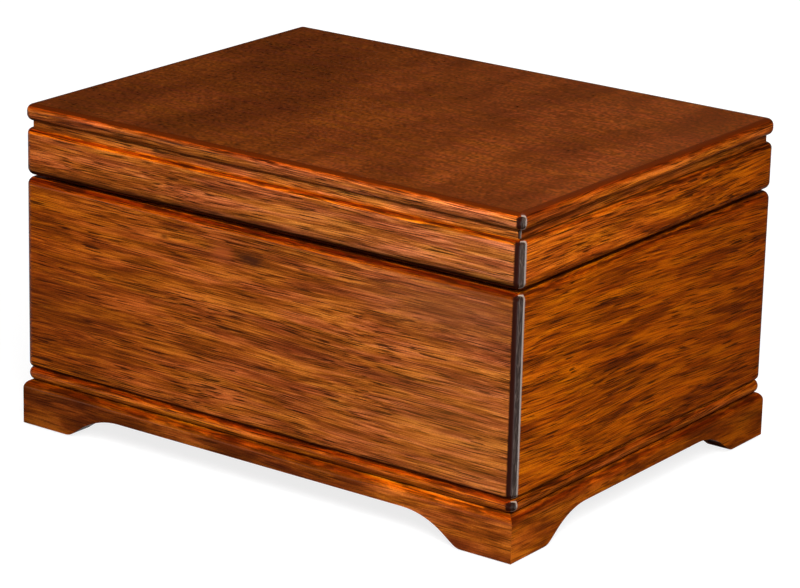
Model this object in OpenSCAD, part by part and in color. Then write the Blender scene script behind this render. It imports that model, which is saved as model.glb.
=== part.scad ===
// Lacquered wooden chest on a bracket-foot plinth, with a hinged lid.
// Millimetres. +Z up, front face towards -Y, origin under the middle of the chest.

/* [Case] */
// Width of the case across its long front
body_w = 286; // [260:1:400]
// Depth of the case from front to back
body_d = 216; // [160:1:300]
// Height of the four wall boards
wall_h = 95.7; // [60:0.1:200]
// Thickness of the wall boards
wall_t = 12; // [12:0.5:16]
// Rounding of the outer edge along the top of the walls
wall_top_r = 3.7; // [3.2:0.1:4]
// Rounding of the outer edge along the bottom of the walls
wall_bottom_r = 2.5; // [1:0.1:4]
// Rounding of the upright corners of walls, lid and bottom board
corner_r = 4.5; // [2:0.1:6]
// Thickness of the bottom board and of the half-round bead moulding around it
bead_t = 6.6; // [5:0.1:8]
// Rounding of its two outer edges, which makes it nearly half round
bead_r = 3.2; // [2.5:0.1:3.2]

/* [Plinth] */
// Height of the plinth boards
plinth_h = 22.4; // [21:0.1:40]
// Thickness of the plinth boards
plinth_t = 12; // [10:0.5:14]
// How far the plinth stands out beyond the walls
plinth_out = 1; // [0:0.1:4]
// Rounding of the outer edge along the top of the plinth
plinth_top_r = 4.6; // [2:0.1:6]
// Width of each bracket foot on the ground
foot_w = 27; // [27:1:32]
// Height of the arch between the feet
arch_h = 12.7; // [10:0.1:15]
// Radius of the rounded toe where a foot starts to rise
toe_r = 8; // [4:0.5:10]
// Radius of the hollow curve that runs into the straight apron
cove_r = 40; // [20:1:42]
// Slope of the foot between toe and hollow, in degrees
ogee_angle = 35; // [25:1:38]
// Thickness of the felt pads under the feet
pad_t = 0.8; // [0.5:0.1:2]

/* [Lid] */
// Gap between the rim of the case and the lid
rim_gap = 1; // [0.8:0.1:1.2]
// Height of the lid rails
rail_h = 23.1; // [16:0.1:40]
// Rounding of the outer edge along the bottom of the lid rails
rail_bottom_r = 3.7; // [3.2:0.1:4]
// Rounding of the outer edge along the top of the lid rails
rail_top_r = 2.6; // [1:0.1:2.9]
// Height of the recessed strips between the rails and the top board
neck_h = 3.6; // [3:0.1:6]
// How far those strips are set back from the rails
neck_in = 2.9; // [2:0.1:4]
// Thickness of the top board and of the moulded edge around it
top_t = 8.2; // [7:0.1:12]
// Width of that moulded edge
edge_w = 4; // [4:0.1:8]
// Radius of that edge's upright corners, less than its width
top_corner_r = 3.8; // [3.5:0.1:3.9]
// Rounding of the moulded edge
top_r = 3.4; // [2:0.1:3.4]

/* [Hinges] */
// Distance of each hinge's middle from the middle of the back
hinge_x = 85; // [50:1:90]
// Length of a hinge
hinge_len = 26; // [24:1:36]
// Distance of the hinge axis from the back face
hinge_inset = 2.2; // [2.2:0.1:2.3]

/* [Hidden] */
$fn = 64;

// Heights at which one layer of boards ends and the next begins
plinth_z = pad_t;
bead_z = plinth_z + plinth_h;
wall_z = bead_z + bead_t;
rim_z = wall_z + wall_h;
rail_z = rim_z + rim_gap;
neck_z = rail_z + rail_h;
top_z = neck_z + neck_h;
mid_gap_z = rim_z + rim_gap / 2;

// The bead lies under the walls; the recessed strips end in line with the inside of the rails
bead_w = wall_t;
neck_w = wall_t - neck_in;
neck_corner_r = 1.2;

// Plinth outline and its arches
plinth_w = body_w + 2 * plinth_out;
plinth_d = body_d + 2 * plinth_out;
ogee_line = (arch_h - (toe_r + cove_r) * (1 - cos(ogee_angle))) / sin(ogee_angle);
ogee_run = (toe_r + cove_r) * sin(ogee_angle) + ogee_line * cos(ogee_angle);
block_w = 13;
block_bevel = 4;
pad_w = 21;
pad_corner_r = 2;
pad_in = 3;

// Small easing of the inner edges along the rim, and the pad on the floor
ease_r = 0.8;
floor_pad_t = 3;
floor_pad_gap = 0.5;
floor_pad_r = 2;
bumper_r = 3;
bumper_play = 0.05;
bumper_t = rim_gap - bumper_play;
bumper_from_end = 20;
bumper_x = body_w / 2 - bumper_from_end;
bumper_in = 7.5;

// Butt hinges: the axis lies in the middle of the gap, just inside the back face
hinge_y = body_d / 2 - hinge_inset;
barrel_r = 2.1;
pin_r = 0.9;
pin_bore_r = 0.95;
pin_head_r = 1.5;
pin_head_t = 0.6;
leaf_w = 8.5;
leaf_t = 1;
leaf_gap = 0.2;
knuckle_w = 8.6;
knuckle_gap = 0.15;
barrel_clear = 0.35;

// Countersunk wood screws: [head_r, shank_r, head_h, length]
hinge_screw = [1.7, 0.9, 0.8, 8];
hinge_screw_x = 8;
hinge_screw_in = 5.2;
plinth_screw = [2.8, 1.4, 1.4, 18];
plinth_screw_in = 5.85;
pilot_gap = 0.02;

// Cross slot of a screw as shares of its head radius: how far it spans, and how wide it is
slot_span = 1.3;
slot_width = 0.26;

// How far cutting shapes run past a surface, and how far joined solids run into each other
through = 1;
overlap = 0.01;

// Degrees that a section is turned round a corner before its mitre cuts it at 45
past_mitre = 60;

body_wood = [0.50, 0.21, 0.06];
top_wood = [0.33, 0.14, 0.05];
plain_wood = [0.62, 0.42, 0.24];
felt_black = [0.05, 0.05, 0.05];
velvet_red = [0.30, 0.03, 0.05];
brass = [0.78, 0.60, 0.28];

// ---- Shared shapes ----

// Waste to take off a square edge so that it becomes a quarter round
module edge_waste(r) {
    difference() {
        translate([-through, -through]) square(r + through);
        translate([r, r]) circle(r);
    }
}

// Board section: x inwards from the outer face, y up, outer edges rounded, inner edges eased
module board_section(t, h, bottom_r, top_r, inner_bottom_r, inner_top_r) {
    difference() {
        square([t, h]);
        if (bottom_r > 0) edge_waste(bottom_r);
        if (top_r > 0) translate([0, h]) mirror([0, 1]) edge_waste(top_r);
        if (inner_bottom_r > 0) translate([t, 0]) mirror([1, 0]) edge_waste(inner_bottom_r);
        if (inner_top_r > 0) translate([t, h]) mirror([1, 0]) mirror([0, 1]) edge_waste(inner_top_r);
    }
}

// Rectangle with four round corners, centred
module round_rect(w, d, r) {
    square([w - 2 * r, d], center = true);
    square([w, d - 2 * r], center = true);
    for (x = [-1, 1], y = [-1, 1])
        translate([x * (w / 2 - r), y * (d / 2 - r)]) circle(r);
}

// Wedge that a front board of a frame, len wide and span deep, fills between its two mitres
module mitres(len, span, t, z, h) {
    translate([0, 0, z - through])
        linear_extrude(h + 2 * through)
            polygon([
                [-len / 2 - through, -span / 2 - through], [len / 2 + through, -span / 2 - through],
                [len / 2 - t, t - span / 2], [t - len / 2, t - span / 2]
            ]);
}

// That board with its section as children, mitred at both ends
module mitred_board(len, span, t, z, h) {
    intersection() {
        translate([-len / 2, -span / 2, z]) rotate([90, 0, 90]) linear_extrude(len) children();
        mitres(len, span, t, z, h);
    }
}

// Outer part of a board section, from the axis of a round corner to its outer face
module corner_section(h, r) {
    intersection() {
        translate([r, 0]) mirror([1, 0]) children();
        square([r, h]);
    }
}

// The same board with its section turned round the upright outer corners, up to the mitres
module rounded_board(len, span, t, z, h, r) {
    intersection() {
        union() {
            translate([r - len / 2, -span / 2, z]) rotate([90, 0, 90]) linear_extrude(len - 2 * r) children();
            for (side = [-1, 1])
                translate([side * (len / 2 - r), r - span / 2, z])
                    rotate([0, 0, side > 0 ? -90 : -90 - past_mitre])
                        rotate_extrude(angle = past_mitre) corner_section(h, r) children();
        }
        mitres(len, span, t, z, h);
    }
}

// Plain panel in the middle, len wide and span deep
module flat_panel(len, span, z, h) {
    translate([-len / 2, -span / 2, z]) cube([len, span, h]);
}

// Countersunk screw without its slot, head up with its top at z = 0; grow makes it that much larger in radius
module screw_body(size, grow = 0) {
    translate([0, 0, -size[2]]) cylinder(h = size[2], r1 = size[1] + grow, r2 = size[0] + grow);
    translate([0, 0, -size[3]]) cylinder(h = size[3] - size[2] + overlap, r = size[1] + grow);
}

module screw(size) {
    difference() {
        screw_body(size);
        for (a = [0, 90])
            rotate([0, 0, a]) cube([size[0] * slot_span, size[0] * slot_width, size[2]], center = true);
    }
}

// Children in one corner of a w by d rectangle, mirrored so that they face its middle; sx and sy are -1 or 1
module at_corner(sx, sy, w, d) {
    translate([sx * w / 2, sy * d / 2, 0]) mirror([sx > 0 ? 1 : 0, 0, 0]) mirror([0, sy > 0 ? 1 : 0, 0])
        children();
}

// ---- Case walls ----

module wall(len, span) {
    color(body_wood)
        rounded_board(len, span, wall_t, wall_z, wall_h, corner_r)
            board_section(wall_t, wall_h, wall_bottom_r, wall_top_r, 0, ease_r);
}

module front_panel() { wall(body_w, body_d); }

module right_panel() { rotate([0, 0, 90]) wall(body_d, body_w); }

module left_panel() { rotate([0, 0, -90]) wall(body_d, body_w); }

module back_panel() {
    color(body_wood)
        difference() {
            rotate([0, 0, 180]) wall(body_w, body_d);
            for (x = [-hinge_x, hinge_x]) hinge_mortise(x, -1);
        }
}

// ---- Bottom ----

// Half-round moulding under the walls, mitred round the bottom board
module bead(len, span) {
    color(body_wood)
        rounded_board(len, span, bead_w, bead_z, bead_t, corner_r)
            board_section(bead_w, bead_t, bead_r, bead_r, 0, 0);
}

module bead_front() { bead(body_w, body_d); }

module bead_back() { rotate([0, 0, 180]) bead(body_w, body_d); }

module bead_right() { rotate([0, 0, 90]) bead(body_d, body_w); }

module bead_left() { rotate([0, 0, -90]) bead(body_d, body_w); }

module bottom_board() {
    color(body_wood)
        difference() {
            flat_panel(body_w - 2 * bead_w, body_d - 2 * bead_w, bead_z, bead_t);
            plinth_screw_places() screw_body(plinth_screw, pilot_gap);
        }
}

// ---- Plinth ----

// Opening between two feet, symmetric about x = 0, from below the ground up to the apron
module arch_opening(half_span) {
    straight = half_span - ogee_run;
    toe_end = [half_span - toe_r * sin(ogee_angle), toe_r * (1 - cos(ogee_angle))];
    cove_end = [straight + cove_r * sin(ogee_angle), arch_h - cove_r * (1 - cos(ogee_angle))];
    for (side = [0, 1]) mirror([side, 0])
        difference() {
            union() {
                polygon([
                    [-through, -through], [-through, arch_h], [straight, arch_h], cove_end,
                    toe_end, [half_span, 0], [half_span, -through]
                ]);
                intersection() {
                    translate([straight, arch_h - cove_r]) circle(cove_r);
                    polygon([[straight, arch_h], cove_end, [cove_end[0], arch_h]]);
                }
            }
            translate([half_span, toe_r]) circle(toe_r);
        }
}

module plinth_board(len, span) {
    color(body_wood)
        difference() {
            mitred_board(len, span, plinth_t, plinth_z, plinth_h)
                board_section(plinth_t, plinth_h, 0, plinth_top_r, 0, 0);
            translate([0, plinth_t + through - span / 2, plinth_z])
                rotate([90, 0, 0]) linear_extrude(plinth_t + 2 * through) arch_opening(len / 2 - foot_w);
        }
}

module plinth_front() { plinth_board(plinth_w, plinth_d); }

module plinth_back() { rotate([0, 0, 180]) plinth_board(plinth_w, plinth_d); }

module plinth_right() { rotate([0, 0, 90]) plinth_board(plinth_d, plinth_w); }

module plinth_left() { rotate([0, 0, -90]) plinth_board(plinth_d, plinth_w); }

// Block glued into each inner corner of the plinth, with its free edge bevelled
module glue_block(sx, sy) {
    color(plain_wood)
        difference() {
            at_corner(sx, sy, plinth_w - 2 * plinth_t, plinth_d - 2 * plinth_t)
                translate([0, 0, plinth_z]) linear_extrude(plinth_h)
                    polygon([
                        [0, 0], [block_w, 0], [block_w, block_w - block_bevel],
                        [block_w - block_bevel, block_w], [0, block_w]
                    ]);
            plinth_screw_places() screw_body(plinth_screw, pilot_gap);
        }
}

module glue_block_front_left() { glue_block(-1, -1); }

module glue_block_front_right() { glue_block(1, -1); }

module glue_block_back_left() { glue_block(-1, 1); }

module glue_block_back_right() { glue_block(1, 1); }

// Felt pad under each foot, set in from its faces
module foot_pad(sx, sy) {
    color(felt_black)
        at_corner(sx, sy, plinth_w - 2 * pad_in, plinth_d - 2 * pad_in)
            translate([pad_w / 2, pad_w / 2, 0]) linear_extrude(pad_t) round_rect(pad_w, pad_w, pad_corner_r);
}

module foot_pad_front_left() { foot_pad(-1, -1); }

module foot_pad_front_right() { foot_pad(1, -1); }

module foot_pad_back_left() { foot_pad(-1, 1); }

module foot_pad_back_right() { foot_pad(1, 1); }

// Screws from the floor of the case down into the glue blocks
module plinth_screw_places() {
    inset = plinth_t - plinth_out + plinth_screw_in;
    for (x = [-1, 1], y = [-1, 1])
        translate([x * (body_w / 2 - inset), y * (body_d / 2 - inset), wall_z]) children();
}

module plinth_screws() { color(brass) plinth_screw_places() screw(plinth_screw); }

// ---- Inside of the case and its rim ----

module floor_pad() {
    gap = 2 * (wall_t + floor_pad_gap);
    color(velvet_red)
        translate([0, 0, wall_z]) linear_extrude(floor_pad_t)
            round_rect(body_w - gap, body_d - gap, floor_pad_r);
}

// Felt dots on the front rim that the closed lid rests on
module rim_bumper(x) {
    color(felt_black) translate([x, bumper_in - body_d / 2, rim_z]) cylinder(h = bumper_t, r = bumper_r);
}

module rim_bumper_left() { rim_bumper(-bumper_x); }

module rim_bumper_right() { rim_bumper(bumper_x); }

// ---- Hinges ----

// A run of the hinge barrel along x, from a to b, at the hinge whose middle is at x
module barrel(x, a, b, r) {
    translate([x + a, hinge_y, mid_gap_z]) rotate([0, 90, 0]) cylinder(h = b - a, r = r);
}

// Children at both screws of one leaf, heads towards the other leaf; side is -1 in the case, 1 in the lid
module leaf_screw_places(x, side) {
    for (s = [-1, 1])
        translate([x + s * hinge_screw_x, hinge_y - hinge_screw_in, mid_gap_z + side * leaf_gap / 2])
            mirror([0, 0, side > 0 ? 1 : 0]) children();
}

// Flat of a leaf from its inner edge to the axis, gap / 2 away from the middle; also the shape of its mortise
module leaf_plate(x, side, gap) {
    low = side > 0 ? gap / 2 : -leaf_gap / 2 - leaf_t;
    high = side > 0 ? leaf_gap / 2 + leaf_t : -gap / 2;
    translate([x - hinge_len / 2, hinge_y - leaf_w, mid_gap_z + low]) cube([hinge_len, leaf_w, high - low]);
}

// What is cut from the wood for one leaf: its flat, the room round the barrel, and the screws
module hinge_mortise(x, side) {
    room = hinge_len / 2 + pin_head_t + barrel_clear;
    leaf_plate(x, side, 0);
    barrel(x, -room, room, barrel_r + barrel_clear);
    leaf_screw_places(x, side) screw_body(hinge_screw, pilot_gap);
}

module case_leaf(x) {
    inner = knuckle_w / 2 + knuckle_gap;
    color(brass)
        difference() {
            union() {
                leaf_plate(x, -1, leaf_gap);
                barrel(x, -hinge_len / 2, -inner, barrel_r);
                barrel(x, inner, hinge_len / 2, barrel_r);
            }
            barrel(x, -inner, inner, barrel_r + barrel_clear);
            barrel(x, -hinge_len, hinge_len, pin_bore_r);
            leaf_screw_places(x, -1) screw_body(hinge_screw, pilot_gap);
        }
}

module lid_leaf(x) {
    inner = knuckle_w / 2;
    color(brass)
        difference() {
            union() {
                leaf_plate(x, 1, leaf_gap);
                barrel(x, -inner, inner, barrel_r);
            }
            barrel(x, -hinge_len, -inner, barrel_r + barrel_clear);
            barrel(x, inner, hinge_len, barrel_r + barrel_clear);
            barrel(x, -hinge_len, hinge_len, pin_bore_r);
            leaf_screw_places(x, 1) screw_body(hinge_screw, pilot_gap);
        }
}

module hinge_pin(x) {
    half = hinge_len / 2;
    color(brass) {
        barrel(x, -half - pin_head_t / 2, half + pin_head_t / 2, pin_r);
        barrel(x, -half - pin_head_t, -half, pin_head_r);
        barrel(x, half, half + pin_head_t, pin_head_r);
    }
}

module hinge_left_case_leaf() { case_leaf(-hinge_x); }

module hinge_right_case_leaf() { case_leaf(hinge_x); }

module hinge_left_lid_leaf() { lid_leaf(-hinge_x); }

module hinge_right_lid_leaf() { lid_leaf(hinge_x); }

module hinge_left_pin() { hinge_pin(-hinge_x); }

module hinge_right_pin() { hinge_pin(hinge_x); }

module hinge_screws(side) {
    color(brass) for (x = [-hinge_x, hinge_x]) leaf_screw_places(x, side) screw(hinge_screw);
}

module case_hinge_screws() { hinge_screws(-1); }

module lid_hinge_screws() { hinge_screws(1); }

// ---- Lid ----

module rail(len, span) {
    color(body_wood)
        rounded_board(len, span, wall_t, rail_z, rail_h, corner_r)
            board_section(wall_t, rail_h, rail_bottom_r, rail_top_r, ease_r, 0);
}

module lid_front_rail() { rail(body_w, body_d); }

module lid_right_rail() { rotate([0, 0, 90]) rail(body_d, body_w); }

module lid_left_rail() { rotate([0, 0, -90]) rail(body_d, body_w); }

module lid_back_rail() {
    color(body_wood)
        difference() {
            rotate([0, 0, 180]) rail(body_w, body_d);
            for (x = [-hinge_x, hinge_x]) hinge_mortise(x, 1);
        }
}

// Recessed strip between rails and top board
module neck(len, span) {
    color(body_wood)
        rounded_board(len - 2 * neck_in, span - 2 * neck_in, neck_w, neck_z, neck_h, neck_corner_r)
            square([neck_w, neck_h]);
}

module neck_front() { neck(body_w, body_d); }

module neck_back() { rotate([0, 0, 180]) neck(body_w, body_d); }

module neck_right() { rotate([0, 0, 90]) neck(body_d, body_w); }

module neck_left() { rotate([0, 0, -90]) neck(body_d, body_w); }

// Panel that closes the lid between the recessed strips
module lid_inner_panel() {
    color(body_wood) flat_panel(body_w - 2 * wall_t, body_d - 2 * wall_t, neck_z, neck_h);
}

// Moulded edge round the top board
module top_edge(len, span) {
    color(body_wood)
        rounded_board(len, span, edge_w, top_z, top_t, top_corner_r)
            board_section(edge_w, top_t, top_r, top_r, 0, 0);
}

module top_edge_front() { top_edge(body_w, body_d); }

module top_edge_back() { rotate([0, 0, 180]) top_edge(body_w, body_d); }

module top_edge_right() { rotate([0, 0, 90]) top_edge(body_d, body_w); }

module top_edge_left() { rotate([0, 0, -90]) top_edge(body_d, body_w); }

module top_panel() {
    color(top_wood) flat_panel(body_w - 2 * edge_w, body_d - 2 * edge_w, top_z, top_t);
}

front_panel();
back_panel();
left_panel();
right_panel();
bottom_board();
bead_front();
bead_back();
bead_left();
bead_right();
plinth_front();
plinth_back();
plinth_left();
plinth_right();
glue_block_front_left();
glue_block_front_right();
glue_block_back_left();
glue_block_back_right();
foot_pad_front_left();
foot_pad_front_right();
foot_pad_back_left();
foot_pad_back_right();
plinth_screws();
floor_pad();
rim_bumper_left();
rim_bumper_right();
hinge_left_case_leaf();
hinge_right_case_leaf();
hinge_left_pin();
hinge_right_pin();
case_hinge_screws();
lid_front_rail();
lid_back_rail();
lid_left_rail();
lid_right_rail();
neck_front();
neck_back();
neck_left();
neck_right();
lid_inner_panel();
top_edge_front();
top_edge_back();
top_edge_left();
top_edge_right();
top_panel();
hinge_left_lid_leaf();
hinge_right_lid_leaf();
lid_hinge_screws();
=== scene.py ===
import math
import random

import bmesh
import bpy
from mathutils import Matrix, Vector, noise


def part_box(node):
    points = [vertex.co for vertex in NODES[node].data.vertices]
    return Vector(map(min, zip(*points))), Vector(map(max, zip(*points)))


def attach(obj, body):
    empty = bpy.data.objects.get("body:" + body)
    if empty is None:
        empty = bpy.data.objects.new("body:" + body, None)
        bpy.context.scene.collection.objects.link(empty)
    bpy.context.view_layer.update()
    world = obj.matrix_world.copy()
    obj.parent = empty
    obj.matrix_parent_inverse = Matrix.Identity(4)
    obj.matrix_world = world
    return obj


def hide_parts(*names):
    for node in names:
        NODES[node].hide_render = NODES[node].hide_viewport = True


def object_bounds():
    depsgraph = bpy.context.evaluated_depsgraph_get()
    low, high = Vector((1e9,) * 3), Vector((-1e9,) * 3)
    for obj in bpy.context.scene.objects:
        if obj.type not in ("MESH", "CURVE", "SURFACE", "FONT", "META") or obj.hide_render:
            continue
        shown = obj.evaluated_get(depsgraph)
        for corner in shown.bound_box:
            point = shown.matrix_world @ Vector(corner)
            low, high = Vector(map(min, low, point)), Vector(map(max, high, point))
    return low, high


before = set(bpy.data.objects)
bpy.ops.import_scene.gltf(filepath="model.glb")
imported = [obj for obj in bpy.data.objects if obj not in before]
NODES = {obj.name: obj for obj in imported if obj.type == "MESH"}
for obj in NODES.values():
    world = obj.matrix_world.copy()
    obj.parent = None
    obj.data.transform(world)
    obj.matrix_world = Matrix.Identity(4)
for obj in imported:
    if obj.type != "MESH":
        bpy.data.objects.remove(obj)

CAD_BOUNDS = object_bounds()
MM = 0.001

# Camera: seen over the near corner, front face on the left, right face on the right
CAMERA_AZIMUTH = 35.66
CAMERA_ELEVATION = 17.78
CAMERA_ROLL = 1.44
CAMERA_DISTANCE = 1.646
CAMERA_LENS = 156.25
AIM_FROM_MIDDLE = Vector((0.0198, -0.0248, -0.0007))

# Boards whose names end like this run along Y, with their grain, and the others along X
ALONG_Y = ("left_panel", "right_panel", "left_rail", "right_rail", "_left", "_right")

# Slope of the grain against the board's edges, in degrees
GRAIN_SLOPE = {"right_panel": -2.6, "left_panel": 1.5, "back_panel": -1.0, "lid_right_rail": -1.2,
               "lid_front_rail": 0.6, "lid_left_rail": 1.0, "plinth_right": -1.5}

# Painted light along each board: how pale the wood is at a board's low and high end (0 is reddish brown, 1 is
# a greyer tan, painted as under cooler light), and how bright it is at each, as a painted fall of light
PAINTED_LIGHT = {"front_panel": (-0.18, 0.55, 0.92, 1.05), "right_panel": (-0.20, -0.48, 1.05, 0.73),
         "lid_front_rail": (0.18, 0.80, 1.08, 1.08), "lid_right_rail": (-0.10, -0.25, 1.34, 0.92),
         "plinth_front": (-0.1, 0.1, 0.56, 0.95), "plinth_right": (-0.10, -0.35, 0.93, 0.62),
         "neck_front": (0.2, 0.8, 1.1, 1.8), "neck_right": (0.0, 0.0, 0.85, 0.75),
         "top_edge_front": (0.3, 0.8, 0.95, 1.1), "top_edge_right": (0.0, 0.0, 1.25, 1.2),
         "top_panel": (0.0, 0.0, 0.66, 1.02)}
# A board with no painted light along it
NO_PAINTED_LIGHT = (0.0, 0.0, 1.0, 1.0)

# Knots and patches of another colour on a front board: across and up as fractions, half width and half
# height in mm, strength, colour
MARKS = {"front_panel": ((0.424, 0.859, 9, 5, 0.70, (0.400, 0.080, 0.016, 1)),
                         (0.482, 0.854, 11, 4.0, 0.95, (0.055, 0.013, 0.004, 1)),
                         (0.301, 0.866, 3, 1.6, 0.80, (0.070, 0.014, 0.002, 1)),
                         (0.880, 0.850, 62, 20, 0.60, (0.150, 0.040, 0.014, 1)),
                         (0.030, 0.350, 60, 30, 0.35, (0.090, 0.015, 0.002, 1)),
                         (0.900, 0.300, 55, 34, 0.15, (0.560, 0.1700, 0.0240, 1)))}


# ---- Placing things ----

def direction(azimuth, elevation):
    """Unit vector that points from the chest to that azimuth (0 is -Y, 90 is +X) and elevation."""
    a, e = math.radians(azimuth), math.radians(elevation)
    return Vector((math.sin(a) * math.cos(e), -math.cos(a) * math.cos(e), math.sin(e)))


def middle_of(bounds):
    low, high = Vector(bounds[0]), Vector(bounds[1])
    return (low + high) / 2


def add_object(name, data):
    thing = bpy.data.objects.new(name, data)
    bpy.context.scene.collection.objects.link(thing)
    return thing


def aim(thing, target, roll=0.0):
    """Turns a camera or light to look at target, with its top rolled by that many degrees."""
    turn = (target - thing.location).to_track_quat("-Z", "Y")
    thing.rotation_euler = turn.to_euler()
    thing.rotation_euler.rotate_axis("Z", math.radians(roll))


# ---- Node trees ----

class Tree:
    """Adds nodes to a material or world, with their inputs linked or set in the same call."""

    def __init__(self, owner):
        owner.use_nodes = True
        self.nodes = owner.node_tree.nodes
        self.links = owner.node_tree.links
        self.nodes.clear()

    def add(self, kind, inputs=None, **settings):
        node = self.nodes.new("ShaderNode" + kind)
        for name, value in settings.items():
            setattr(node, name, value)
        for key, value in (inputs or {}).items():
            if isinstance(value, bpy.types.NodeSocket):
                self.links.new(value, node.inputs[key])
            else:
                node.inputs[key].default_value = value
        return node

    def math(self, operation, a, b=0.0, c=0.0):
        return self.add("Math", {0: a, 1: b, 2: c}, operation=operation).outputs[0]

    def vector(self, operation, a, b):
        return self.add("VectorMath", {0: a, 1: b}, operation=operation).outputs[0]

    def noise(self, at, sizes, detail=2.0, roughness=0.5):
        """Noise whose features are about as long as sizes, in the units of at."""
        shrunk = self.vector("DIVIDE", at, sizes)
        return self.add("TexNoise", {"Vector": shrunk, "Scale": 1.0, "Detail": detail,
                                     "Roughness": roughness})

    def grade(self, value, low, high, to_low=0.0, to_high=1.0):
        """Smooth step from to_low at low to to_high at high."""
        return self.add("MapRange", {"Value": value, "From Min": low, "From Max": high,
                                     "To Min": to_low, "To Max": to_high},
                        interpolation_type="SMOOTHSTEP").outputs[0]

    def mix(self, factor, a, b, blend="MIX"):
        node = self.add("Mix", data_type="RGBA", blend_type=blend)
        for index, value in ((0, factor), (6, a), (7, b)):
            if isinstance(value, bpy.types.NodeSocket):
                self.links.new(value, node.inputs[index])
            else:
                node.inputs[index].default_value = value
        return node.outputs[2]

    def ramp(self, factor, stops):
        """Colour ramp through (position, colour) stops."""
        node = self.add("ValToRGB", {"Fac": factor})
        elements = node.color_ramp.elements
        while len(elements) < len(stops):
            elements.new(0.5)
        for element, (position, colour) in zip(elements, stops):
            element.position = position
            element.color = colour
        return node.outputs[0]

    def surface(self, shader):
        self.add("OutputMaterial", {"Surface": shader.outputs[0]})


def new_material(name):
    material = bpy.data.materials.new(name)
    return material, Tree(material)


# ---- Wood ----

# Layers of the figure: share, size in millimetres along, across and through the grain, and detail
WALNUT_LAYERS = ((0.36, (50, 6, 6), 2), (0.30, (34, 0.85, 0.85), 2), (0.34, (15, 0.36, 0.36), 1))

# Range of slopes that no surface has, for a board that stays as it is there
NEVER = (-2.0, -3.0)

# A slope is the upright part of the surface normal: 1 faces up, 0 sideways, -1 down. An entry that starts
# with side_ takes the place of its namesake on boards along Y.
WALNUT = {
    # Figure, from its darkest colour to its palest, with the colours of dark bands and of open pores
    "brown": (0.150, 0.0250, 0.0012, 1),
    "amber": (0.345, 0.0680, 0.0038, 1),
    "gold": (0.640, 0.1550, 0.0120, 1),
    "dark": (0.085, 0.0125, 0.0007, 1),
    "pore": (0.030, 0.0050, 0.0004, 1),
    "layers": WALNUT_LAYERS,
    # Half of the range of tones from brown to gold, then how much of the bands, pores and specks shows
    "spread": 0.135,
    "shade": 0.34,
    "pores": 0.88,
    "specks": 0.26,
    "speck_size": (0.8, 0.5, 0.5),
    # Colours that the upper rounding is multiplied by: all of it, warmer and partly a painted highlight; a
    # band over its middle, painted shade and wear; and its upper lip, a thin painted highlight
    "edge": (1.050, 0.7000, 0.1200, 1),
    "side_edge": (0.860, 0.7400, 0.4600, 1),
    "wear_and_shade": (0.420, 0.2200, 0.0700, 1),
    "side_wear_and_shade": (0.520, 0.3900, 0.1800, 1),
    "lip_highlight": (1.500, 2.2000, 4.0000, 1),
    # Colour over the top of the rounding, or None; TOP_EDGE says from which slopes
    "cap": None,
    # Painted shade: its dark colour in the recesses, how much of it lies above the lip highlight where the
    # rounding meets the flat top and as a painted shadow low on the face, and the slopes over which it closes
    # on the lower rounding
    "painted_shade": (0.006, 0.0010, 0.0002, 1),
    "groove_shade": 0.85,
    "low_shadow": 0.0,
    "under": (-0.05, -0.55),
    "side_under": (-0.62, -0.93),
    # Round upright corners: the dark strip of stained end grain, grey with painted sheen on boards along Y,
    # and the pale rim beside it on boards along Y, a painted highlight
    "end": (0.020, 0.0040, 0.0020, 1),
    "side_end_and_sheen": (0.018, 0.0085, 0.0060, 1),
    "side_rim_highlight": (0.300, 0.2200, 0.1800, 1),
    # Lacquer
    "roughness": 0.42,
    "coat": 0.8,
    "coat_roughness": 0.14,
}
SAME = (1.0, 1.0, 1.0, 1)
# Roundings with no painted highlight, painted shade or wear
NO_ROUNDING_LIGHT_OR_WEAR = {"edge": SAME, "side_edge": SAME, "wear_and_shade": SAME, "side_wear_and_shade": SAME, "lip_highlight": SAME, "groove_shade": 0.0}
TOP_VENEER = dict(
    WALNUT, **NO_ROUNDING_LIGHT_OR_WEAR,
    brown=(0.118, 0.0230, 0.0023, 1), amber=(0.175, 0.0350, 0.0036, 1), gold=(0.245, 0.0510, 0.0056, 1),
    dark=(0.130, 0.0240, 0.0023, 1), pore=(0.120, 0.0230, 0.0022, 1),
    layers=((0.64, (26, 70, 70), 2), (0.22, (14, 2.6, 2.6), 2), (0.14, (2.6, 1.3, 1.3), 1)),
    spread=0.15, shade=0.0, pores=0.12, specks=0.85, speck_size=(1.6, 1.7, 1.7))
TOP_EDGE = dict(
    WALNUT,
    # The top edge's edge colour is a pale pinkish painted highlight over its rounding
    cap=(0.092, 0.0130, 0.0006, 1), cap_from=(0.62, 0.76), edge=(1.7, 1.45, 1.3, 1),
    wear_and_shade=(0.80, 0.50, 0.10, 1), side_edge=(0.80, 0.64, 0.30, 1), side_wear_and_shade=(0.50, 0.33, 0.12, 1),
    under=(-0.35, -0.80))
RAIL = dict(
    WALNUT,
    edge=(1.650, 1.2000, 0.1000, 1), wear_and_shade=(0.400, 0.2100, 0.0300, 1), low_shadow=0.55, groove_shade=0.2)
SIDE_RAIL = dict(WALNUT, low_shadow=0.10, side_end_and_sheen=(0.032, 0.0180, 0.0130, 1))
BEAD = dict(
    WALNUT,
    edge=(1.25, 1.05, 0.7, 1), wear_and_shade=(0.70, 0.42, 0.05, 1), side_wear_and_shade=(0.62, 0.48, 0.20, 1),
    under=(-0.50, -0.95))
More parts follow.
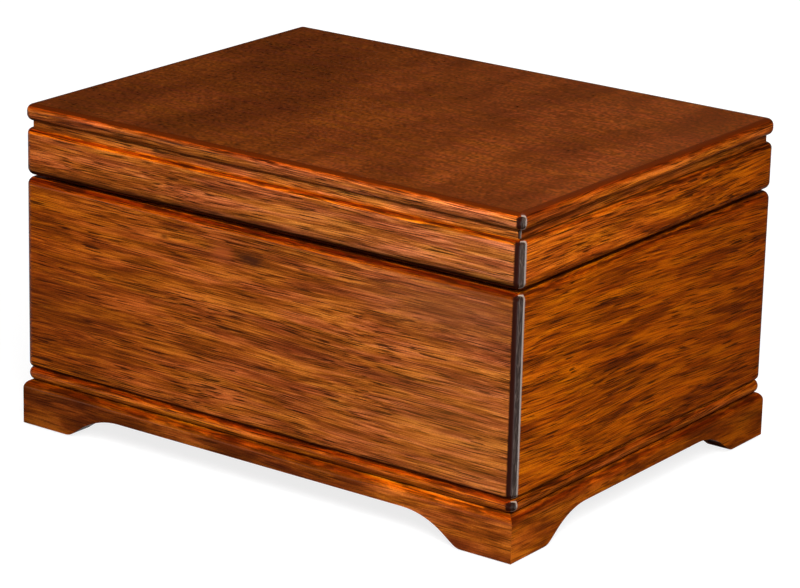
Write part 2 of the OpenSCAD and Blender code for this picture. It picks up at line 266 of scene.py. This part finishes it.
PLINTH = dict(
    WALNUT,
    layers=((0.60, (32, 9, 9), 3), (0.20, (20, 1.2, 1.2), 2), (0.20, (9, 0.5, 0.5), 1)),
    shade=0.55, pores=0.60, edge=(1.25, 1.15, 0.9, 1), wear_and_shade=(1.00, 0.68, 0.10, 1),
    side_edge=(1.1, 0.95, 0.5, 1), side_wear_and_shade=(0.75, 0.55, 0.20, 1), under=NEVER, side_under=NEVER)
BARE_END = (0.330, 0.2000, 0.0900, 1)
PINE = dict(
    WALNUT, **NO_ROUNDING_LIGHT_OR_WEAR,
    brown=(0.400, 0.2300, 0.0950, 1), amber=(0.520, 0.3200, 0.1500, 1), gold=(0.640, 0.4300, 0.2200, 1),
    dark=(0.300, 0.1550, 0.0600, 1), pore=(0.230, 0.1200, 0.0500, 1), painted_shade=(0.250, 0.1400, 0.0600, 1),
    end=BARE_END, side_end_and_sheen=BARE_END, side_rim_highlight=BARE_END,
    shade=0.3, pores=0.3, roughness=0.75, coat=0.0)

# Looks of the boards whose names start with these words; all other boards are WALNUT
LOOKS = (("top_panel", TOP_VENEER), ("top_edge", TOP_EDGE), ("lid_front_rail", RAIL),
         ("lid_back_rail", RAIL), ("lid_right_rail", SIDE_RAIL), ("lid_left_rail", SIDE_RAIL),
         ("bead", BEAD), ("plinth", PLINTH), ("glue_block", PINE))

# Slopes at which the flat top and the flat underside of a board begin, where roundings end
FLAT_TOP = (0.9999, 0.999)
FLAT_UNDERSIDE = (-0.995, -0.96)


def grain_space(tree, along_y, seed, slope):
    """Position on a board in millimetres, x along its grain, at a place of its own in the tree trunk."""
    place = tree.add("TexCoord").outputs["Object"]
    if along_y:
        parts = tree.add("SeparateXYZ", {0: place}).outputs
        place = tree.add("CombineXYZ", {0: parts[1], 1: parts[0], 2: parts[2]}).outputs[0]
    draw = random.Random(seed)
    offset = [draw.uniform(-900, 900) for _ in range(3)]
    turned = tree.add("Mapping", {"Vector": place, "Rotation": (0, math.radians(slope), 0),
                                  "Scale": [1 / MM] * 3, "Location": offset})
    return turned.outputs[0]


def sway(tree, place):
    """The same position pushed sideways a little, so that the grain runs in slow waves."""
    slow = tree.noise(place, [170, 40, 40], detail=1).outputs["Color"]
    quick = tree.noise(place, [60, 7, 7], detail=1).outputs["Color"]
    for colour, reach in ((slow, 9), (quick, 1.4)):
        centred = tree.vector("SUBTRACT", colour, [0.5] * 3)
        place = tree.vector("ADD", place, tree.vector("MULTIPLY", centred, [0, reach, reach]))
    return place


def painted_light_along(tree, node, along_y):
    """Painted light to multiply a board by: colour and brightness of the light from the board's low end to
    its high end.
    """
    axis = 1 if along_y else 0
    low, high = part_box(node)
    along = tree.add("SeparateXYZ", {0: tree.add("TexCoord").outputs["Object"]}).outputs[axis]
    pale_low, pale_high, light_low, light_high = PAINTED_LIGHT.get(node, NO_PAINTED_LIGHT)
    ends = []
    for pale, light in ((pale_low, light_low), (pale_high, light_high)):
        ends.append((light, light * (1 + 0.45 * pale), light * (1 + 4.2 * pale)))
    thrice = tree.add("CombineXYZ", {0: along, 1: along, 2: along}).outputs[0]
    # Sockets 7 to 10 are the vector forms of From Min, From Max, To Min and To Max
    slide = tree.add("MapRange", {"Vector": thrice, 7: [low[axis]] * 3, 8: [high[axis]] * 3,
                                  9: ends[0], 10: ends[1]}, data_type="FLOAT_VECTOR")
    return slide.outputs["Vector"]


def mark(tree, node, across, up, half_width, half_height, strength):
    """How much of a mark shows: a soft oval on a front board, placed by fractions of its width and height."""
    low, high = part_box(node)
    middle = (low.x + (high.x - low.x) * across, 0, low.z + (high.z - low.z) * up)
    place = tree.add("TexCoord").outputs["Object"]
    offset = tree.vector("SUBTRACT", place, middle)
    ragged = tree.noise(place, [4 * MM, 1, 1 * MM], detail=2).outputs[0]
    scaled = tree.vector("MULTIPLY", offset, [1 / (half_width * MM), 0, 1 / (half_height * MM)])
    distance = tree.add("VectorMath", {0: scaled}, operation="LENGTH").outputs["Value"]
    return tree.grade(tree.math("MULTIPLY_ADD", ragged, 0.9, tree.math("SUBTRACT", distance, 0.45)),
                      1.2, 0.1, 0, strength)


def figure(tree, look, place):
    """Colour of the bare figure, and the two layers that give it relief: fibres and open pores."""
    tone = 0.0
    for share, size, detail in look["layers"]:
        layer = tree.noise(place, size, detail=detail).outputs[0]
        tone = tree.math("MULTIPLY_ADD", layer, share, tone)
    tone = tree.grade(tone, 0.5 - look["spread"], 0.5 + look["spread"])
    colour = tree.ramp(tone, [(0.0, look["brown"]), (0.5, look["amber"]), (1.0, look["gold"])])

    bands = tree.noise(place, [70, 7.0, 7.0], detail=3).outputs[0]
    colour = tree.mix(tree.grade(bands, 0.48, 0.70, 0, look["shade"]), colour, look["dark"])
    dashes = tree.noise(place, [17, 0.38, 0.38], detail=0).outputs[0]
    drawn = tree.math("MULTIPLY_ADD", bands, 0.36, dashes)
    pores = tree.grade(drawn, 0.75, 0.86, 0, look["pores"])
    colour = tree.mix(pores, colour, look["pore"])

    patches = tree.noise(place, [38, 4.5, 4.5], detail=3).outputs[0]
    green = tree.math("MULTIPLY_ADD", patches, 0.55, 0.725)
    blue = tree.grade(patches, 0.38, 0.60, 1.4, 0.8)
    hue = tree.add("CombineColor", {"Red": 1.0, "Green": green, "Blue": blue}).outputs[0]
    colour = tree.mix(1.0, colour, hue, "MULTIPLY")
    speck = tree.noise(place, look["speck_size"], detail=0).outputs[0]
    speck = tree.math("MULTIPLY_ADD", speck, 2 * look["specks"], 1 - look["specks"])
    grey = tree.add("CombineColor", {"Red": speck, "Green": speck, "Blue": speck}).outputs[0]
    return tree.mix(1.0, colour, grey, "MULTIPLY"), layer, pores


def upper_rounding(tree, look, place, colour, up, along_y):
    """Warms and mottles the rounding along the top of a board, from its face to its flat top, with painted
    light and shade: a painted highlight over it, painted shade and wear over its middle, a painted highlight
    at its lip and painted shade where it meets the flat top.
    """
    side = "side_" if along_y else ""
    # Whole rounding and flat top made warmer and brighter: partly a painted highlight of light from above
    colour = tree.mix(tree.grade(up, 0.04, 0.20), colour, look[side + "edge"], "MULTIPLY")
    # Band over the middle of the rounding made darker and redder: painted shade cast by the part above, and
    # wear
    wear_and_shade_mask = tree.math("MULTIPLY", tree.grade(up, 0.35, 0.62), tree.grade(up, 0.99, 0.90))
    colour = tree.mix(wear_and_shade_mask, colour, look[side + "wear_and_shade"], "MULTIPLY")
    # Thin pale line at the upper lip of the rounding: painted highlight
    lip_highlight_from = 0.72 if along_y else 0.86
    lip_highlight = tree.math("MULTIPLY", tree.grade(up, lip_highlight_from - 0.02, lip_highlight_from + 0.04), tree.grade(up, 0.96, 0.93))
    colour = tree.mix(lip_highlight, colour, look["lip_highlight"], "MULTIPLY")
    # Dark band where the rounding meets the flat top: painted shade in the groove between parts
    groove_shade_from = 0.91 if along_y else 0.94
    groove_shade = tree.math("MULTIPLY", tree.grade(up, groove_shade_from, groove_shade_from + 0.03, 0, look["groove_shade"]),
                      tree.grade(up, *FLAT_TOP))
    colour = tree.mix(groove_shade, colour, look["painted_shade"])
    mottle = tree.noise(place, [12, 2.0, 2.0], detail=2).outputs[0]
    blots = tree.math("MULTIPLY", tree.grade(mottle, 0.46, 0.62), tree.grade(up, 0.1, 0.5, 0, 0.65))
    colour = tree.mix(blots, colour, look["pore"])
    if look["cap"]:
        colour = tree.mix(tree.grade(up, *look["cap_from"]), colour, look["cap"])
    return colour


def lower_rounding(tree, look, node, colour, up, along_y):
    """Paints shade on a board's lower rounding and a painted shadow over the lowest part of its face, and not
    on its flat underside.
    """
    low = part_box(node)[0].z
    height = tree.add("SeparateXYZ", {0: tree.add("TexCoord").outputs["Object"]}).outputs[2]
    clear = tree.grade(up, *FLAT_UNDERSIDE)
    # Darker towards the bottom of the face: painted shadow
    low_shadow = tree.grade(height, low + 8 * MM, low + 2.5 * MM, 0, look["low_shadow"])
    colour = tree.mix(tree.math("MULTIPLY", low_shadow, clear), colour, look["painted_shade"])
    # Downward-facing lower rounding darkened: painted shade
    shaded = tree.grade(up, *look["side_under" if along_y else "under"])
    return tree.mix(tree.math("MULTIPLY", shaded, clear), colour, look["painted_shade"])


def upright_corners(tree, look, place, colour, normal, along_y):
    """Dark strips of stained end grain down a board's round upright corners, with round ends; the far one is
    much fainter. On boards along Y the strip is grey with streaks of painted sheen, beside a pale rim of
    painted highlight.
    """
    up = normal[2]
    level = tree.math("SQRT", tree.math("SUBTRACT", 1.0001, tree.math("MULTIPLY", up, up)))
    upright = tree.grade(tree.math("ABSOLUTE", up), 0.82, 0.40)
    near = tree.math("DIVIDE", normal[1] if along_y else normal[0], level)
    near = tree.math("MULTIPLY", near, -1.0 if along_y else 1.0)
    near = tree.math("MULTIPLY", near, upright)
    turn = tree.math("MAXIMUM", near, tree.math("MULTIPLY", near, -0.25))
    if not along_y:
        return tree.mix(tree.grade(turn, 0.10, 0.32), colour, look["end"])
    # Pale streaks in the grey strip: painted sheen
    scratches = tree.noise(place, [0.5, 0.5, 9], detail=2).outputs[0]
    strip = tree.mix(tree.grade(scratches, 0.46, 0.70, 0.0, 0.25), look["side_end_and_sheen"], look["side_rim_highlight"])
    # Pale line beside the strip where the rounding starts: painted highlight
    colour = tree.mix(tree.grade(near, 0.01, 0.05), colour, look["side_rim_highlight"])
    return tree.mix(tree.grade(turn, 0.14, 0.28), colour, strip)


def wood(node):
    """Stained and lacquered wood for one board, with its grain along the board."""
    material, tree = new_material("wood_" + node)
    look = next((look for start, look in LOOKS if node.startswith(start)), WALNUT)
    along_y = node.endswith(ALONG_Y)
    place = sway(tree, grain_space(tree, along_y, node, GRAIN_SLOPE.get(node, 0.0)))
    colour, fibres, pores = figure(tree, look, place)
    # Painted light along the board: brightness and light colour from one end to the other
    colour = tree.mix(1.0, colour, painted_light_along(tree, node, along_y), "MULTIPLY")
    for spot in MARKS.get(node, ()):
        colour = tree.mix(mark(tree, node, *spot[:5]), colour, spot[5])
    normal = tree.add("SeparateXYZ", {0: tree.add("TexCoord").outputs["Normal"]}).outputs
    colour = upper_rounding(tree, look, place, colour, normal[2], along_y)
    colour = lower_rounding(tree, look, node, colour, normal[2], along_y)
    colour = upright_corners(tree, look, place, colour, normal, along_y)

    height = tree.math("SUBTRACT", tree.math("MULTIPLY", fibres, 0.5), pores)
    bump = tree.add("Bump", {"Height": height, "Strength": 0.35, "Distance": 0.06 * MM})
    orange_peel = tree.noise(place, [9, 5, 5], detail=1).outputs[0]
    coat_bump = tree.add("Bump", {"Height": orange_peel, "Strength": 0.25, "Distance": 0.05 * MM})
    tree.surface(tree.add("BsdfPrincipled", {
        "Base Color": colour, "Roughness": look["roughness"], "Specular IOR Level": 0.05,
        "Coat Weight": look["coat"], "Coat Roughness": look["coat_roughness"],
        "Normal": bump.outputs[0], "Coat Normal": coat_bump.outputs[0],
    }))
    return material


# ---- Brass, felt and velvet ----

def millimetres(tree):
    return tree.vector("MULTIPLY", tree.add("TexCoord").outputs["Object"], [1 / MM] * 3)


def brass():
    """Lacquered brass with fine scratches along x and a browner bloom in patches."""
    material, tree = new_material("brass")
    place = millimetres(tree)
    bloom = tree.noise(place, [5, 3, 3], detail=3).outputs[0]
    scratches = tree.noise(place, [9, 0.12, 0.12], detail=1).outputs[0]
    colour = tree.ramp(bloom, [(0.30, (0.330, 0.1850, 0.0560, 1)), (0.48, (0.600, 0.3700, 0.1150, 1)),
                               (0.70, (0.780, 0.5300, 0.2000, 1))])
    bump = tree.add("Bump", {"Height": scratches, "Strength": 0.4, "Distance": 0.02 * MM})
    tree.surface(tree.add("BsdfPrincipled", {
        "Base Color": colour, "Metallic": 0.75, "Roughness": tree.grade(bloom, 0.3, 0.7, 0.46, 0.28),
        "Normal": bump.outputs[0]}))
    return material


def felt():
    """Black pressed felt: short tangled fibres over soft grey and brown lint."""
    material, tree = new_material("felt")
    place = millimetres(tree)
    fibres = tree.noise(place, [0.35, 0.35, 0.35], detail=3, roughness=0.7).outputs[0]
    lint = tree.noise(place, [2.5, 2.5, 2.5], detail=2).outputs[0]
    colour = tree.mix(tree.grade(lint, 0.45, 0.75), (0.010, 0.0100, 0.0110, 1), (0.034, 0.0300, 0.0270, 1))
    colour = tree.mix(tree.grade(fibres, 0.45, 0.65, 0, 0.6), colour, (0.050, 0.0480, 0.0470, 1))
    bump = tree.add("Bump", {"Height": fibres, "Strength": 0.8, "Distance": 0.15 * MM})
    tree.surface(tree.add("BsdfPrincipled", {
        "Base Color": colour, "Roughness": 0.95, "Specular IOR Level": 0.1, "Sheen Weight": 0.25,
        "Normal": bump.outputs[0]}))
    return material


def velvet():
    """Wine red velvet whose pile lies in brushed patches, painted lighter and darker as a sheen of the pile.
    """
    material, tree = new_material("velvet")
    place = millimetres(tree)
    pile_sheen = tree.noise(place, [46, 24, 24], detail=2).outputs[0]
    pile = tree.noise(place, [0.45, 0.30, 0.30], detail=2, roughness=0.6).outputs[0]
    # Lighter and darker patches: painted sheen of the pile
    colour = tree.ramp(pile_sheen, [(0.30, (0.075, 0.0030, 0.0040, 1)), (0.50, (0.135, 0.0050, 0.0070, 1)),
                                 (0.70, (0.240, 0.0100, 0.0130, 1))])
    colour = tree.mix(tree.grade(pile, 0.35, 0.60, 0.45, 0), colour, (0.045, 0.0015, 0.0020, 1))
    bump = tree.add("Bump", {"Height": pile, "Strength": 0.7, "Distance": 0.20 * MM})
    tree.surface(tree.add("BsdfPrincipled", {
        "Base Color": colour, "Roughness": 0.85, "Specular IOR Level": 0.1, "Sheen Weight": 0.35,
        "Sheen Roughness": 0.35, "Sheen Tint": (1.0, 0.30, 0.28, 1), "Normal": bump.outputs[0]}))
    return material


def dress(node, material):
    """Gives a CAD node that material in each of its slots."""
    for index in range(len(NODES[node].material_slots)):
        NODES[node].material_slots[index].material = material


# ---- Pads ----

# Sizes in millimetres: inset from the CAD box, corner radius, grid cell, rounding of the free face, crown in
# the middle, height (uneven) and width (slump) of slow waves, and depth of a ragged rim. Steps are fractions
# of the corner radius where grid lines lie, and side is the rim's height as a fraction of the pad's.
FLOOR_PAD = {"inset": 0.9, "corner": 2.0, "cell": 4.0, "steps": (0.0, 0.5, 1.0), "rounding": 1.6,
             "side": 0.45, "crown": 0.25, "uneven": 0.10, "slump": 30.0, "ragged": 0.0}
FOOT_PAD = {"inset": 0.0, "corner": 2.0, "cell": 2.0, "steps": (0.0, 0.2, 0.6, 1.0), "rounding": 0.5,
            "side": 0.45, "crown": 0.0, "uneven": 0.03, "slump": 5.0, "ragged": 0.25}
BUMPER = {"inset": 0.0, "corner": 3.0, "cell": 3.0, "steps": (0.0, 0.1, 0.25, 0.5, 0.75, 1.0),
          "rounding": 0.7, "side": 0.40, "crown": -0.04, "uneven": 0.04, "slump": 1.5, "ragged": 0.10}
# Length of the fraying along a ragged rim, in millimetres
FELT_FRAY = 1.7

# Cloth simulation of the floor pad, and the most it may move any point, in millimetres
CLOTH_FRAMES = 20
CLOTH_PRESSURE = 4.0
SWELL_UP = 1.1
SWELL_OUT = 0.35


def stops(half, pad):
    """Grid lines from -half to half, close together within a corner radius of each end."""
    flat = half - pad["corner"]
    near = [flat + pad["corner"] * (1 - step) for step in pad["steps"]]
    cuts = max(1, round(2 * flat / pad["cell"]))
    between = [-flat + 2 * flat * cut / cuts for cut in range(1, cuts)]
    lines = [-line for line in near] + between + near[::-1]
    return [line for index, line in enumerate(lines) if index == 0 or line - lines[index - 1] > 0.001]


def on_pad(x, y, half, pad):
    """Where a grid point lies on a pad with round corners, and how far it is from the pad's outline."""
    radius = pad["corner"]
    dx, dy = abs(x) - (half[0] - radius), abs(y) - (half[1] - radius)
    if dx <= 0 or dy <= 0:
        return x, y, min(half[0] - abs(x), half[1] - abs(y))
    squeeze = max(dx, dy) / math.hypot(dx, dy)
    place_x = math.copysign(half[0] - radius + dx * squeeze, x)
    place_y = math.copysign(half[1] - radius + dy * squeeze, y)
    return place_x, place_y, radius - max(dx, dy)


def pad_shape(pad, middle, size, half, px, py, inside):
    """Height of a pad at a point of its outline or inside it, and how much fraying draws that point in."""
    at = Vector((px + middle.x, py + middle.y, 0))
    edge = 1 - min(inside / pad["rounding"], 1)
    swell = (1 - (px / half[0]) ** 4) * (1 - (py / half[1]) ** 4)
    height = pad["side"] + (1 - pad["side"]) * math.sqrt(1 - edge * edge)
    wave = noise.noise(at / pad["slump"]) * pad["uneven"] * (1 - edge)
    height = size.z * min(height, 1) + pad["crown"] * swell + wave
    rim = 1 - pad["ragged"] * edge * (0.5 + 0.5 * noise.noise(at / FELT_FRAY)) / max(half)
    return height, rim


def close_pad(built, free, resting, last_i, last_j):
    """Faces over a pad's free and resting grids, and round its sides."""
    for i in range(last_i):
        for j in range(last_j):
            square = ((i, j), (i + 1, j), (i + 1, j + 1), (i, j + 1))
            built.faces.new([free[key] for key in square])
            built.faces.new([resting[key] for key in reversed(square)])
    loop = [(i, 0) for i in range(last_i)] + [(last_i, j) for j in range(last_j)]
    loop += [(i, last_j) for i in range(last_i, 0, -1)] + [(0, j) for j in range(last_j, 0, -1)]
    for a, b in zip(loop, loop[1:] + loop[:1]):
        built.faces.new([resting[a], resting[b], free[b], free[a]])
    bmesh.ops.recalc_face_normals(built, faces=built.faces)


def pad_piece(name, node, pad, material, hanging=False):
    """Closed pad in the space of a CAD node, flat where it rests and rounded on its free face."""
    low, high = [Vector(corner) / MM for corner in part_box(node)]
    middle, size = (low + high) / 2, high - low
    half = (size.x / 2 - pad["inset"], size.y / 2 - pad["inset"])
    columns, rows = stops(half[0], pad), stops(half[1], pad)
    built = bmesh.new()
    free, resting = {}, {}
    for i, x in enumerate(columns):
        for j, y in enumerate(rows):
            px, py, inside = on_pad(x, y, half, pad)
            height, rim = pad_shape(pad, middle, size, half, px, py, inside)
            spot = Vector((middle.x + px * rim, middle.y + py * rim))
            base, face = (high.z, high.z - height) if hanging else (low.z, low.z + height)
            free[i, j] = built.verts.new(Vector((spot.x, spot.y, face)) * MM)
            resting[i, j] = built.verts.new(Vector((spot.x, spot.y, base)) * MM)
    close_pad(built, free, resting, len(columns) - 1, len(rows) - 1)
    mesh = bpy.data.meshes.new(name)
    built.to_mesh(mesh)
    built.free()
    mesh.polygons.foreach_set("use_smooth", [True] * len(mesh.polygons))
    mesh.materials.append(material)
    piece = add_object(name, mesh)
    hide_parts(node)
    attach(piece, "case")
    return piece


def swell_up(piece):
    """Puffs a pad out as cloth under pressure, with its underside pinned, and keeps that shape."""
    mesh = piece.data
    start = [vertex.co.copy() for vertex in mesh.vertices]
    floor = min(point.z for point in start)
    pinned = piece.vertex_groups.new(name="pinned")
    pinned.add([index for index, point in enumerate(start) if point.z < floor + 0.1 * MM], 1.0, "REPLACE")
    cloth = piece.modifiers.new("cloth", "CLOTH")
    cloth.settings.vertex_group_mass = pinned.name
    cloth.settings.use_pressure = True
    cloth.settings.uniform_pressure_force = CLOTH_PRESSURE
    cloth.settings.effector_weights.gravity = 0
    for frame_number in range(1, CLOTH_FRAMES + 1):
        bpy.context.scene.frame_set(frame_number)
    puffed = piece.evaluated_get(bpy.context.evaluated_depsgraph_get()).to_mesh()
    ends = [vertex.co.copy() for vertex in puffed.vertices]
    piece.modifiers.remove(cloth)
    for vertex, begin, end in zip(mesh.vertices, start, ends):
        move = end - begin
        out, up = SWELL_OUT * MM, SWELL_UP * MM
        vertex.co = begin + Vector((max(-out, min(out, move.x)), max(-out, min(out, move.y)),
                                    max(-up, min(up, move.z))))
    bpy.context.scene.frame_set(1)


def smooth(piece):
    piece.modifiers.new("subdivision", "SUBSURF").render_levels = 1


def make_pads():
    pile, pressed = velvet(), felt()
    floor_pad = pad_piece("velvet_pad", "floor_pad", FLOOR_PAD, pile)
    swell_up(floor_pad)
    smooth(floor_pad)
    felt_nodes = [node for node in sorted(NODES) if node.startswith(("foot_pad", "rim_bumper"))]
    for node in felt_nodes:
        foot = node.startswith("foot_pad")
        piece = pad_piece("felt_" + node, node, FOOT_PAD if foot else BUMPER, pressed, hanging=foot)
        smooth(piece)


# ---- Camera, floor and light ----

def make_camera():
    camera = add_object("camera", bpy.data.cameras.new("camera"))
    camera.data.lens = CAMERA_LENS
    target = middle_of(CAD_BOUNDS) + AIM_FROM_MIDDLE
    camera.location = target + direction(CAMERA_AZIMUTH, CAMERA_ELEVATION) * CAMERA_DISTANCE
    aim(camera, target, CAMERA_ROLL)
    bpy.context.scene.camera = camera


def make_floor():
    """Pale floor that takes a soft shadow, and is see-through from below."""
    half, below = 6.0, -0.05 * MM
    mesh = bpy.data.meshes.new("floor")
    corners = [(-half, -half, below), (half, -half, below), (half, half, below), (-half, half, below)]
    mesh.from_pydata(corners, [], [(0, 1, 2, 3)])
    floor = add_object("floor", mesh)
    material, tree = new_material("floor")
    lit = tree.add("BsdfDiffuse", {"Color": (0.27, 0.27, 0.27, 1)})
    glow = tree.add("Emission", {"Color": (1, 1, 1, 1), "Strength": 0.81})
    pale = tree.add("AddShader", {0: lit.outputs[0], 1: glow.outputs[0]})
    clear = tree.add("BsdfTransparent")
    from_below = tree.add("NewGeometry").outputs["Backfacing"]
    tree.surface(tree.add("MixShader", {0: from_below, 1: pale.outputs[0], 2: clear.outputs[0]}))
    mesh.materials.append(material)
    floor.visible_glossy = False
    floor.visible_diffuse = False


def make_light(name, azimuth, elevation, distance, size, power, gleams=True):
    """Round soft lamp aimed at the chest; one that does not gleam is not mirrored in the lacquer."""
    lamp = bpy.data.lights.new(name, "AREA")
    lamp.shape = "DISK"
    lamp.size = size
    lamp.energy = power
    light = add_object(name, lamp)
    light.visible_glossy = gleams
    target = middle_of(CAD_BOUNDS)
    light.location = target + direction(azimuth, elevation) * distance
    aim(light, target)


def make_lights():
    make_light("key", 44, 34, 1.10, 0.50, 16.0, gleams=False)
    make_light("front", -30, 35, 1.4, 0.5, 3.0, gleams=False)
    make_light("left", -100, 35, 1.6, 0.7, 4.0, gleams=False)
    make_light("side", 140, 60, 1.6, 0.8, 3.0)
    make_light("back", 200, 30, 1.6, 0.8, 12.0, gleams=False)


# Brightness of the low reflectors around the chest, by azimuth, and the brightest of them
RING = ((-180, 0.2), (-90, 0.3), (-45, 0.03), (-30, 0.05), (38, 0.05), (46, 0.3), (54, 6.0), (63, 0.4),
        (95, 0.4), (112, 0.5), (121, 5.0), (130, 0.3), (136, 0.0), (160, 0.0), (180, 0.2))
RING_FULL = 6.0


def make_world():
    """A dim room with a ring of low reflectors, seen only in the lacquer."""
    world = bpy.data.worlds.new("studio")
    bpy.context.scene.world = world
    tree = Tree(world)
    path = tree.add("LightPath").outputs
    x, y, z = tree.add("SeparateXYZ", {0: tree.add("TexCoord").outputs["Generated"]}).outputs
    turn = tree.math("ARCTAN2", x, tree.math("MULTIPLY", y, -1.0))
    around = tree.math("MULTIPLY_ADD", turn, 0.5 / math.pi, 0.5)
    glows = [(0.5 + azimuth / 360, [glow / RING_FULL] * 3 + [1]) for azimuth, glow in RING]
    ring = tree.ramp(around, glows)
    low = tree.math("MULTIPLY", tree.grade(z, 0.15, -0.15, 0.02, 1.0), tree.grade(z, -0.60, -0.42))
    strip = tree.math("MULTIPLY", tree.grade(z, -0.18, -0.11), tree.grade(z, 0.05, -0.03))
    facing = tree.math("MULTIPLY", tree.grade(turn, -1.3, -0.8), tree.grade(turn, 0.6, -0.2))
    lines = tree.math("MULTIPLY", tree.math("MULTIPLY", strip, facing), 1.2)
    reflectors = tree.math("MULTIPLY", tree.math("MULTIPLY", ring, low), RING_FULL)
    dim = tree.add("Background", {"Color": (1, 1, 1, 1), "Strength": 0.12})
    white = tree.add("Background", {"Color": (1, 1, 1, 1), "Strength": reflectors})
    warm = tree.add("Background", {"Color": (1.0, 0.60, 0.36, 1), "Strength": lines})
    dark = tree.add("AddShader", {0: white.outputs[0], 1: warm.outputs[0]})
    pale = tree.add("Background", {"Color": (0.96, 0.96, 0.96, 1), "Strength": 1.0})
    unlit = tree.add("MixShader", {0: path["Is Glossy Ray"], 1: dim.outputs[0], 2: dark.outputs[0]})
    mixed = tree.add("MixShader", {0: path["Is Camera Ray"], 1: unlit.outputs[0], 2: pale.outputs[0]})
    tree.add("OutputWorld", {"Surface": mixed.outputs[0]})
    bpy.context.scene.view_settings.view_transform = "Standard"


make_camera()
make_floor()
make_lights()
make_world()
make_pads()
metal = brass()
for node in sorted(NODES):
    dress(node, metal if node.startswith("hinge") or node.endswith("screws") else wood(node))
